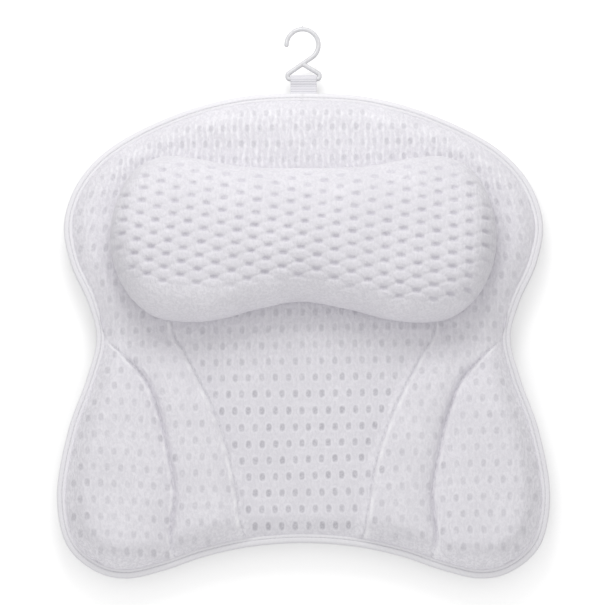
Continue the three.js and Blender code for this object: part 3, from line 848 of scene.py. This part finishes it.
def neck_cushion():
    piece = neck_form()
    points, normals = read_points(piece), read_normals(piece)
    x, y, z = points[:, 0], points[:, 1] - NECK_PLACE, points[:, 2]
    border = neck_outline.at(np.linspace(0, neck_outline.half, 800))
    top, low = border[border[:, 1] > 0], border[border[:, 1] < 0]
    upper = np.interp(np.abs(x), *top.T)
    lower = -np.interp(np.abs(x), *low[np.argsort(low[:, 0])].T)
    half = np.where(y > 0, upper, lower)

    # The dimples' rows fall to the right, and their columns lean to the right, the left ones most
    level = y + (NECK_ROW_TILT + NECK_ROW_BEND * x) * x
    v = (level - NECK_ROW_SHIFT) / NECK_HOLE_ROW + 0.1 * ripple(x, y, 90, 45)
    lean = (NECK_LEAN - NECK_LEAN_BEND * x) * (y - NECK_LEAN_PLACE)
    u = (x - lean + NECK_HOLE_SHIFT) / NECK_HOLE_PITCH + 0.03 * ripple(x, y, 90, 46)
    du, dv, numbers = nearest_hole(u, v)
    numbers = np.where(normals[:, 2] > 0, numbers, -1e6)

    # They fade out at the side wall, and towards the lower edge along a line of their rows
    reach = np.maximum(np.abs(x) / (NECK_WIDTH / 2 + 7 * MM), np.abs(y) / (half - 3 * MM))
    fade = smooth_step(0.3, 0.6, normals[:, 2]) * (1 - smooth_step(0.87, 0.99, reach))
    fade *= ramp(-4.5, 4.5, level + 5 * MM + 0.64 * lower)
    strength = hole_strength(du, dv, numbers, fade, 0.8, 47)
    strength *= mix(1, 0.75, ramp(0, 60, y))
    holes = hole_shape(du, dv, NECK_HOLE_HALF_WIDTH, NECK_HOLE_HALF_HEIGHT)
    puffs = (1 - np.cos(TURN * u) * np.cos(math.pi * v)) / 2 - 0.6
    slants = sum(bell(np.mod(u + sign * v / 2 + 0.5, 1) - 0.5, SLANT_WIDTH) for sign in (-1, 1))
    relief = strength * (-DIMPLE_DEPTH * holes + PUFF_HEIGHT * puffs - SLANT_DEPTH * slants)
    relief += DENT_DEPTH * ripple(x, y + z, 70, 31) * (z > NECK_COVER_LEVEL + 4 * MM)
    write_points(piece, points + normals * relief[:, None])
    set_fabric_map(piece, u, v)
    # The dimpling share also sets the shade that the material paints into each dimple, and a faint
    # highlight round it
    set_attribute(piece, "dimpling", strength)
    return piece


def neck_filling():
    piece = copy_of("neck_cushion_filling", "neck_pillow_filling", 5 * MM, 4)
    write_points(piece, read_points(piece) - read_normals(piece) * FILLING_GAP)
    return settle(piece, ["neck_pillow_filling"])


cushion = neck_cushion()
filling = neck_filling()
base = settle(copy_of("neck_cushion_base", "neck_pillow_base", 1 * MM, 1),
              ["neck_pillow_base"])


# Webbing: the hanging loop and the suction cups' tabs

WEBBING_RIB = 2.1 * MM
TWILL_LENGTH = 1.3 * MM
LOOP_CLOSE = 6.5 * MM
LOOP_TANGENT = 1.38 * MM
LOOP_SLOPE = 0.41


def ribbed(piece, depth, end=1.0):
    """Low ribs across a strip that runs along Y, up to a place where they fade out."""
    points, normals = read_points(piece), read_normals(piece)
    flat = (np.abs(normals[:, 2]) > 0.6) * ramp(-1, 1, end - points[:, 1])
    wave = np.cos(TURN * points[:, 1] / WEBBING_RIB) * flat
    write_points(piece, points + normals * (depth * wave)[:, None])
    return piece


def tapered(piece):
    """Lets the loop's two layers close in slowly behind the hook's bar, as webbing does."""
    points = read_points(piece)
    back, up = BAR_PLACE - points[:, 1], points[:, 2] - BAR_LEVEL
    outside = np.hypot(back, up) > WIRE_RADIUS + CLEARANCE + WEBBING_THICKNESS / 2
    closing = outside & (back > LOOP_TANGENT) & (back < LOOP_CLOSE)
    least = WEBBING_THICKNESS + LOOP_SLOPE * (LOOP_CLOSE - back)
    up = np.where(closing, np.sign(up) * np.maximum(np.abs(up), least), up)
    write_points(piece, np.column_stack([points[:, :2], up + BAR_LEVEL]))
    return piece


loop_form = tapered(copy_of("webbing_loop", "hanging_loop", 0.4 * MM, 2))
loop_piece = settle(ribbed(loop_form, 0.12 * MM, BAR_PLACE - 5 * MM), ["hanging_loop"])
tabs = [settle(ribbed(copy_of(f"webbing_tab_{row}_{side}", f"cup_tab_{row}_{side}", 0.7 * MM, 1),
                      0.1 * MM), [f"cup_tab_{row}_{side}"])
        for row in CUP_PLACES for side in ("left", "right")]


# Hanging hook: one smooth wire, joined where it crosses

WIRE_SIDES = 20
LEAVE_ANGLE = -55


def wire(path, radius):
    """Rings of points round a path in the plane of the hook."""
    path = np.array([(x, y + BAR_PLACE, BAR_LEVEL) for x, y in path])
    ahead = unit(np.gradient(path, axis=0))
    side = np.column_stack([ahead[:, 1], -ahead[:, 0], 0 * ahead[:, 0]])
    angles = np.arange(WIRE_SIDES) * TURN / WIRE_SIDES
    return np.array([
        path + (side * math.cos(a) + np.array([0, 0, 1]) * math.sin(a)) * radius for a in angles
    ]).transpose(1, 0, 2)


def hook_paths():
    """The ring with its long leg and the whole eye, and the leg that closes the eye again."""
    bar_half = WEBBING_WIDTH / 2 + CLEARANCE
    ring = arc(RING_OFFSET, RING_HEIGHT, RING_RADIUS, 180, LEAVE_ANGLE, 60)
    leave_x, leave_y = ring[-1]
    slope = math.tan(math.radians(90 + LEAVE_ANGLE))
    diagonal = lambda x: leave_y - (leave_x - x) * slope
    foot_x = bar_half + FOOT_BEND * math.cos(math.radians(LEAVE_ANGLE))
    rise = diagonal(-foot_x) + FOOT_BEND * math.sin(math.radians(LEAVE_ANGLE))
    foot = [(x, 0) for x in np.linspace(0, bar_half, 8)[:-1]]
    foot += arc(bar_half, FOOT_BEND, FOOT_BEND, -90, 0, 8)
    foot += arc(bar_half, rise, FOOT_BEND, 0, -LEAVE_ANGLE, 6)
    crossing = (RING_OFFSET, diagonal(RING_OFFSET))
    line = lambda a, b: [mix(np.array(a), np.array(b), s) for s in np.linspace(0, 1, 12)[1:-1]]
    left = [(-x, y) for x, y in foot][::-1]
    main = ring + line(ring[-1], left[0]) + left
    return main, foot + line(foot[-1], crossing) + [crossing]


def hook():
    builder = bmesh.new()
    main, back_leg = hook_paths()
    nib_foot = RING_HEIGHT + RING_RADIUS
    nib = [(RING_OFFSET, nib_foot + share * (WIRE_RADIUS + NIB_HEIGHT)) for share in (0, 0.5, 1)]
    for path, radius in ((main, WIRE_RADIUS), (back_leg, WIRE_RADIUS), (nib, NIB_WIDTH / 2)):
        rings = [[builder.verts.new(point) for point in ring] for ring in wire(path, radius)]
        for lower, upper in zip(rings, rings[1:]):
            for k in range(WIRE_SIDES):
                following = (k + 1) % WIRE_SIDES
                builder.faces.new((lower[k], lower[following], upper[following], upper[k]))
        builder.faces.new(rings[0][::-1])
        builder.faces.new(rings[-1])
    tip = Matrix.Translation((main[0][0], main[0][1] + BAR_PLACE, BAR_LEVEL))
    bmesh.ops.create_uvsphere(builder, u_segments=24, v_segments=12, radius=WIRE_RADIUS, matrix=tip)
    bmesh.ops.recalc_face_normals(builder, faces=builder.faces)
    mesh = bpy.data.meshes.new("moulded_hook")
    builder.to_mesh(mesh)
    builder.free()
    piece = remeshed(linked("moulded_hook", mesh), 0.32 * MM, 3)
    return settle(piece, ["hanging_hook"], body="hook")


hook_piece = hook()


# Suction cups, turned about their axes

CUP_SIDES = 96


def cup_profile():
    """Radius and height in millimetres, from the middle of the hollow round to the top."""
    hollow = [(26.1 * math.sin(a), 8 * math.cos(a)) for a in np.linspace(0, math.pi / 2, 16)]
    rows = hollow + [(26.3, 0), (27.1, 0), (27.4, 0.1), (27.5, 0.4), (27.5, 1.2), (25.6, 2.9)]
    rows += [(22.8, 4.7), (19.6, 6.2), (16.2, 7.4), (12.6, 8.5), (9.6, 9.4)]
    rows += arc(9.4, 10.6, 1.2, -80, -170, 4)[:3] + [(8, 10.8), (7.4, 12), (6.8, 12.7), (6.2, 13)]
    rows += [(5.2, 13), (4.6, 13.1), (4.5, 13.3), (4.5, 14.5), (4.7, 14.8)]
    rows += [(8.1, 14.8), (8.4, 14.95), (8.5, 15.3), (8.5, 17.2), (8.3, 17.8), (7.8, 18.2)]
    return np.array(rows + [(7.2, 18.3), (4, 18.3), (0, 18.3)]) * MM


def cup(row, side):
    x_share, y_share = CUP_PLACES[row]
    sign = -1 if side == "left" else 1
    middle = (sign * x_share * PAD_WIDTH / 2, y_share * PAD_LENGTH + PAD_PLACE, 0)
    angles = np.arange(CUP_SIDES) * TURN / CUP_SIDES
    circle = np.column_stack([np.cos(angles), np.sin(angles), np.zeros(CUP_SIDES)])
    radii, levels = cup_profile().T[..., None]
    rings = middle + radii[1:-1, None] * circle + levels[1:-1, None] * (0, 0, 1)
    points = np.vstack([rings.reshape(-1, 3), middle + levels[[0, -1]] * (0, 0, 1)])
    ring = np.arange(CUP_SIDES)
    last = ring + (len(rings) - 1) * CUP_SIDES
    tip = np.full(CUP_SIDES, len(points) - 2)
    faces = [grid_faces(len(rings), CUP_SIDES, wrap=True, flip=True),
             np.stack([tip, np.roll(ring, -1), ring], 1),
             np.stack([tip + 1, last, np.roll(last, -1)], 1)]
    return make_object(f"rubber_cup_{row}_{side}", points, faces,
                       [f"suction_cup_{row}_{side}"], body=f"cup_{row}_{side}")


cups = [cup(row, side) for row in CUP_PLACES for side in ("left", "right")]


# Materials: every colour, weave and bump is made by nodes, on the fabric map or the piece itself

class Value:
    """A number that a node gives. Sums and products of it make the nodes that they need."""

    def __init__(self, nodes, socket):
        self.nodes, self.socket = nodes, socket

    def __add__(self, other):
        return self.nodes.math("ADD", self, other)

    def __sub__(self, other):
        return self.nodes.math("SUBTRACT", self, other)

    def __rsub__(self, other):
        return self.nodes.math("SUBTRACT", other, self)

    def __mul__(self, other):
        return self.nodes.math("MULTIPLY", self, other)


class Nodes:
    """Adds nodes to a tree, one by one."""

    def __init__(self, tree):
        self.tree = tree

    def node(self, kind, inputs=(), **settings):
        made = self.tree.nodes.new(f"ShaderNode{kind}")
        for name, value in settings.items():
            setattr(made, name, value)
        for name, value in dict(inputs).items():
            self.put(made.inputs[name], value)
        return made

    def put(self, socket, value):
        value = getattr(value, "socket", value)
        if isinstance(value, bpy.types.NodeSocket):
            self.tree.links.new(value, socket)
        else:
            socket.default_value = value

    def value(self, kind, inputs=(), **settings):
        return Value(self, self.node(kind, inputs, **settings).outputs[0])

    def math(self, operation, a, b=0.0, c=0.0):
        return self.value("Math", {0: a, 1: b, 2: c}, operation=operation)

    def map(self, value, low, high, start=0.0, end=1.0, curve="SMOOTHSTEP"):
        inputs = {"Value": value, "From Min": low, "From Max": high, "To Min": start, "To Max": end}
        return self.value("MapRange", inputs, interpolation_type=curve)

    def split(self, vector):
        parts = self.node("SeparateXYZ", {0: vector}).outputs
        return [Value(self, part) for part in parts]


class Shader(Nodes):
    """A material's nodes."""

    def __init__(self, name):
        self.material = bpy.data.materials.new(name)
        self.material.use_nodes = True
        super().__init__(self.material.node_tree)
        self.surface = self.tree.nodes["Principled BSDF"]

    def blend(self, share, a, b):
        return self.node("Mix", {0: share, 6: a, 7: b}, data_type="RGBA").outputs[2]

    def place(self, scale=(1, 1, 1), rotation=(0, 0, 0)):
        """The piece's own coordinates in metres, scaled."""
        coordinate = self.node("TexCoord").outputs["Object"]
        return self.node("Mapping", {"Vector": coordinate, "Scale": scale,
                                     "Rotation": rotation}).outputs[0]

    def fabric(self):
        """The fabric map's two coordinates."""
        return self.split(self.node("UVMap", uv_map="fabric").outputs[0])[:2]

    def attribute(self, name):
        return Value(self, self.node("Attribute", attribute_name=name).outputs["Fac"])

    def noise(self, scale, detail=2.0, stretch=(1, 1, 1)):
        inputs = {"Vector": self.place(stretch), "Scale": scale, "Detail": detail}
        return self.value("TexNoise", inputs)

    def cells(self, scale, stretch=(1, 1, 1)):
        return self.value("TexVoronoi", {"Vector": self.place(stretch), "Scale": scale})

    def bump(self, height, distance, strength=1.0):
        made = self.node("Bump", {"Height": height, "Distance": distance, "Strength": strength})
        self.put(self.surface.inputs["Normal"], made.outputs[0])

    def finish(self, colour, **inputs):
        for name, value in {"Base_Color": colour, **inputs}.items():
            self.put(self.surface.inputs[name.replace("_", " ")], value)
        return self.material


def tone(red, green, blue):
    """Linear colour from the screen values 0 to 255."""
    values = [c / 255 for c in (red, green, blue)]
    return (*[c / 12.92 if c <= 0.04045 else ((c + 0.055) / 1.055) ** 2.4 for c in values], 1.0)


# The two tones that each material varies between
TONES = {name: [tone(*values) for values in pair] for name, pair in {
    "mesh": ((231, 229, 234), (237, 235, 240)),
    "tape": ((228, 226, 231), (241, 240, 243)),
    "webbing": ((205, 203, 210), (244, 244, 247)),
    "thread": ((238, 237, 241), (190, 188, 195)),
    "plastic": ((206, 206, 209), (215, 215, 217)),
    "rubber": ((232, 237, 239), (245, 247, 248)),
    "foam": ((205, 202, 194), (240, 238, 230)),
    "spacer": ((180, 180, 188), (226, 226, 230)),
    "floor": ((226, 226, 226), (229, 229, 229)),
}.items()}


def lattice(shader, half_width, half_height):
    """Distance from the nearest hole of the staggered lattice, 1 at its rim."""
    u, v = shader.fabric()
    du, dv = shader.math("PINGPONG", u, 0.5), shader.math("PINGPONG", v, 1.0)

    def reach(across, along):
        shares = [shader.math("POWER", shader.math("ABSOLUTE", shader.math("DIVIDE", run, half)),
                              HOLE_POWER)
                  for run, half in ((across, half_width), (along, half_height))]
        return shader.math("POWER", shares[0] + shares[1], 1 / HOLE_POWER)

    other = reach(0.5 - du, 1.0 - dv)
    return shader.math("MINIMUM", reach(du, dv), other)


def air_mesh(name, half_width, half_height, openness, hole_share, rim_highlight_share, hole_and_shade_tone):
    """Knitted mesh: fine loops, wandering ribs and soft holes, with painted light: shade in the
    holes and dimples, highlights round their rims, on the ribs and beside the creases, shade in the
    creases and light on the edge walls.
    """
    shader = Shader(name)
    reach = lattice(shader, half_width, half_height)
    # A painted highlight: a paler band round the rim of each hole
    rim = shader.map(reach, 0.95, 1.25) * shader.map(reach, 1.75, 1.3)
    threads = shader.map(shader.cells(1.0, (780.0, 780.0 * 0.8, 780.0)), 0.75, 0.1)
    cloud = shader.noise(24.0, 3.0)
    worms = shader.map(shader.noise(430.0, 1.0, (1, 0.5, 1)), 0.36, 0.64)
    fine = shader.noise(620.0, 1.0)
    strokes = shader.map(shader.noise(330.0, 1.0, (1, 0.6, 1)), 0.38, 0.62, 0.1, 1.0)
    opened = shader.attribute(openness) * hole_share
    open_share = shader.map(reach, 1.3, 0.55) * opened * shader.map(fine, 0.3, 0.6, 0.55, 1.0)
    u, v = shader.fabric()
    sway = shader.math("COSINE", v * math.pi) * RIB_SWAY
    ribs = shader.map(shader.math("PINGPONG", u - sway, 0.25), 0.06, 0.23) * strokes
    colour = shader.blend(shader.map(cloud, 0.3, 0.7), *TONES["mesh"])
    # Layers of colour, several of them painted light, as marked
    for share, layer in (  # from the cloth's own surface up
            # painted light on the steep walls by the edge
            (shader.attribute("painted_edge_light") * 0.75, tone(252, 250, 255)),
            (opened * 0.22, tone(190, 187, 195)),
            (worms * 0.45, tone(214, 212, 218)),
            ((1.0 - threads) * 0.15, tone(196, 194, 202)),
            # painted highlight round the rims of the holes
            (rim * (opened * rim_highlight_share), tone(241, 240, 245)),
            # painted highlight on the ribs
            (ribs * (shader.attribute("ribbing_and_highlight") * 0.5), tone(250, 249, 252)),
            # doubled cloth and a painted highlight on the ridge beside each crease
            (shader.attribute("ridge_and_highlight") * shader.map(fine, 0.2, 0.6, 0.5, 0.85),
             tone(253, 252, 254)),
            # painted shade in the creases
            (shader.attribute("seam_and_shade") * shader.map(worms, 0.0, 1.0, 0.15, 0.5),
             tone(196, 194, 201)),
            # the darker layers seen through the holes, and painted shade in them
            (open_share, hole_and_shade_tone)):
        colour = shader.blend(share, colour, layer)
    shader.bump(threads * 0.3 - worms - open_share * 1.2, 0.4 * MM, 0.6)
    return shader.finish(colour, Roughness=0.86, Sheen_Weight=0.12, Sheen_Roughness=0.5)


def ribbed_tape(name, rib, depth):
    """Tape with fine ribs across its length, from the fabric map in millimetres, and painted shade
    in its stitch groove.
    """
    shader = Shader(name)
    along, _ = shader.fabric()
    ribs = shader.map(shader.math("PINGPONG", along, rib / 2), 0.0, rib / 2)
    grain = shader.noise(900.0)
    weave = ribs * shader.map(grain, 0.3, 0.7, 0.6, 1.0)
    colour = shader.blend(shader.map(weave, 0.0, 0.6), *TONES["tape"])
    # painted shade in the stitch groove
    colour = shader.blend(shader.attribute("groove") * 0.45, colour, tone(190, 189, 194))
    shader.bump(weave, depth)
    return shader.finish(colour, Roughness=0.8, Sheen_Weight=0.1)


def webbing_weave(name):
    """Narrow woven webbing: ribs across with a diagonal twill between them."""
    shader = Shader(name)
    x, y, _ = shader.split(shader.place())
    rib = shader.math("PINGPONG", y * (1 / WEBBING_RIB), 0.5)
    twill = shader.math("PINGPONG", (x + y * 0.6) * (1 / TWILL_LENGTH), 0.5)
    height = rib + twill * 0.7 + shader.noise(1400.0) * 0.25
    colour = shader.blend(shader.map(height, 0.2, 1.0), *TONES["webbing"])
    shader.bump(height, 0.4 * MM)
    return shader.finish(colour, Roughness=0.75, Sheen_Weight=0.1)


def thread(name):
    """Twisted sewing thread."""
    shader = Shader(name)
    wave = shader.node("TexWave", {"Vector": shader.place(rotation=(0, 0, 0.7)), "Scale": 900.0,
                                   "Distortion": 1.0})
    twist = Value(shader, wave.outputs[1])
    shader.bump(twist, 0.1 * MM)
    colour = shader.blend(twist * 0.4, *TONES["thread"])
    return shader.finish(colour, Roughness=0.55)


def moulded_plastic(name):
    shader = Shader(name)
    flow = shader.noise(260.0, 3.0, (1, 0.3, 1))
    colour = shader.blend(flow, *TONES["plastic"])
    shader.bump(shader.noise(1500.0, 1.0), 0.03 * MM, 0.5)
    rough = shader.map(flow, 0.3, 0.7, 0.24, 0.36)
    return shader.finish(colour, Roughness=rough, Coat_Weight=0.6, Coat_Roughness=0.12)


def cup_rubber(name):
    """Clear soft rubber, a little milky, with faint turning marks."""
    shader = Shader(name)
    haze = shader.noise(120.0, 3.0)
    colour = shader.blend(haze, *TONES["rubber"])
    shader.bump(shader.noise(400.0, stretch=(1, 1, 6)), 0.05 * MM, 0.5)
    rough = shader.map(haze, 0.3, 0.7, 0.12, 0.24)
    return shader.finish(colour, Roughness=rough, Transmission_Weight=0.25, IOR=1.45)


def cellular(name, scale):
    """Open foam or spacer yarn."""
    shader = Shader(name)
    cells = shader.cells(scale)
    colour = shader.blend(shader.map(cells, 0.1, 0.7), *TONES[name])
    shader.bump(cells, 0.4 * MM)
    return shader.finish(colour, Roughness=0.95)


def paint(material, *painted):
    for piece in painted:
        piece.data.materials.clear()
        piece.data.materials.append(material)


paint(air_mesh("air_mesh", HOLE_HALF_WIDTH, HOLE_HALF_HEIGHT, "openness", 1.0, 0.28,
               tone(187, 185, 192)), front, back_mesh)
# On the pillow the hole tone is painted shade in its dimples, and the rim share a painted highlight
# round them
paint(air_mesh("pillow_mesh", 0.135, 0.34, "dimpling", 0.85, 0.1, tone(204, 201, 210)), cushion)
paint(ribbed_tape("binding_tape", 1.1, 0.1 * MM), tape)
paint(thread("thread"), edge_thread, crease_thread)
paint(webbing_weave("webbing"), loop_piece, *tabs)
paint(moulded_plastic("hook_plastic"), hook_piece)
paint(cup_rubber("cup_rubber"), *cups)
paint(cellular("foam", 900.0), filling, *foams)
paint(cellular("spacer", 700.0), core, base)


# Floor, light and camera

FLOOR_LIFT = 0.4
FLOOR_FAR_LIFT = 0.75
FLOOR_NEAR = 0.45
FLOOR_FAR = 1.6
FLOOR_SIZE = 8.0
SKY_NEAR = 0.62
SKY_FAR = 0.79
# Place, size and power of each lamp
LAMPS = {"key": ((-0.07, 0.62, 0.68), 0.5, 3.1), "fill": ((-0.3, -1.8, 1.3), 1.4, 7.0)}

VIEW_TARGET = Vector((-0.9 * MM, -3.5 * MM, 25 * MM))
VIEW_ELEVATION = math.radians(80.2)
VIEW_DISTANCE = 6.0
VIEW_WIDTH = 0.53


def floor_material():
    """White floor that keeps the object's shadow. What the camera sees is lifted to white."""
    shader = Shader("floor")
    grain = shader.noise(3.0)
    rays = shader.node("LightPath").outputs
    colour = shader.blend(grain, *TONES["floor"])
    colour = shader.blend(rays["Is Camera Ray"], tone(208, 208, 209), colour)
    diffuse = shader.node("BsdfDiffuse", {"Color": colour})
    seen = shader.math("MAXIMUM", rays["Is Camera Ray"], rays["Is Glossy Ray"])
    seen = shader.math("MAXIMUM", seen, rays["Is Transmission Ray"])
    away = shader.node("VectorMath", {0: shader.place()}, operation="LENGTH").outputs["Value"]
    strength = seen * shader.map(away, FLOOR_NEAR, FLOOR_FAR, FLOOR_LIFT, FLOOR_FAR_LIFT)
    lift = shader.node("Emission", {"Color": (1, 1, 1, 1), "Strength": strength})
    both = shader.node("AddShader", {0: diffuse.outputs[0], 1: lift.outputs[0]})
    shader.put(shader.tree.nodes["Material Output"].inputs["Surface"], both.outputs[0])
    return shader.material


def sky():
    """White light from all round, weaker from the near side (-Y). The camera sees plain white."""
    world = bpy.data.worlds.new("world")
    world.use_nodes = True
    nodes = Nodes(world.node_tree)
    background = nodes.tree.nodes["Background"]
    background.inputs["Color"].default_value = (1, 1, 1, 1)
    _, y, _ = nodes.split(nodes.node("TexCoord").outputs["Generated"])
    gradient = nodes.map(y, -1.0, 1.0, SKY_NEAR, SKY_FAR, "LINEAR")
    seen = nodes.node("LightPath").outputs["Is Camera Ray"]
    nodes.put(background.inputs["Strength"], nodes.map(seen, 0.0, 1.0, gradient, 1.0, "LINEAR"))
    return world


def aimed(thing, place, towards):
    """Puts a lamp or a camera in its place, looking the way given."""
    thing.location = place
    thing.rotation_euler = towards.to_track_quat("-Z", "Y").to_euler()
    return thing


bpy.ops.mesh.primitive_plane_add(size=FLOOR_SIZE, location=(0, 0, 0))
floor = bpy.context.object
floor.name = "floor"
floor.data.materials.append(floor_material())

scene = bpy.context.scene
scene.world = sky()
for name, (place, size, power) in LAMPS.items():
    lamp = bpy.data.lights.new(name, "AREA")
    lamp.size, lamp.energy = size, power
    aimed(linked(name, lamp), place, -Vector(place))

view = bpy.data.cameras.new("camera")
view.lens = view.sensor_width * VIEW_DISTANCE / VIEW_WIDTH
back = Vector((0, -math.cos(VIEW_ELEVATION), math.sin(VIEW_ELEVATION)))
scene.camera = aimed(linked("camera", view), VIEW_TARGET + back * VIEW_DISTANCE, -back)
scene.view_settings.view_transform = "Standard"
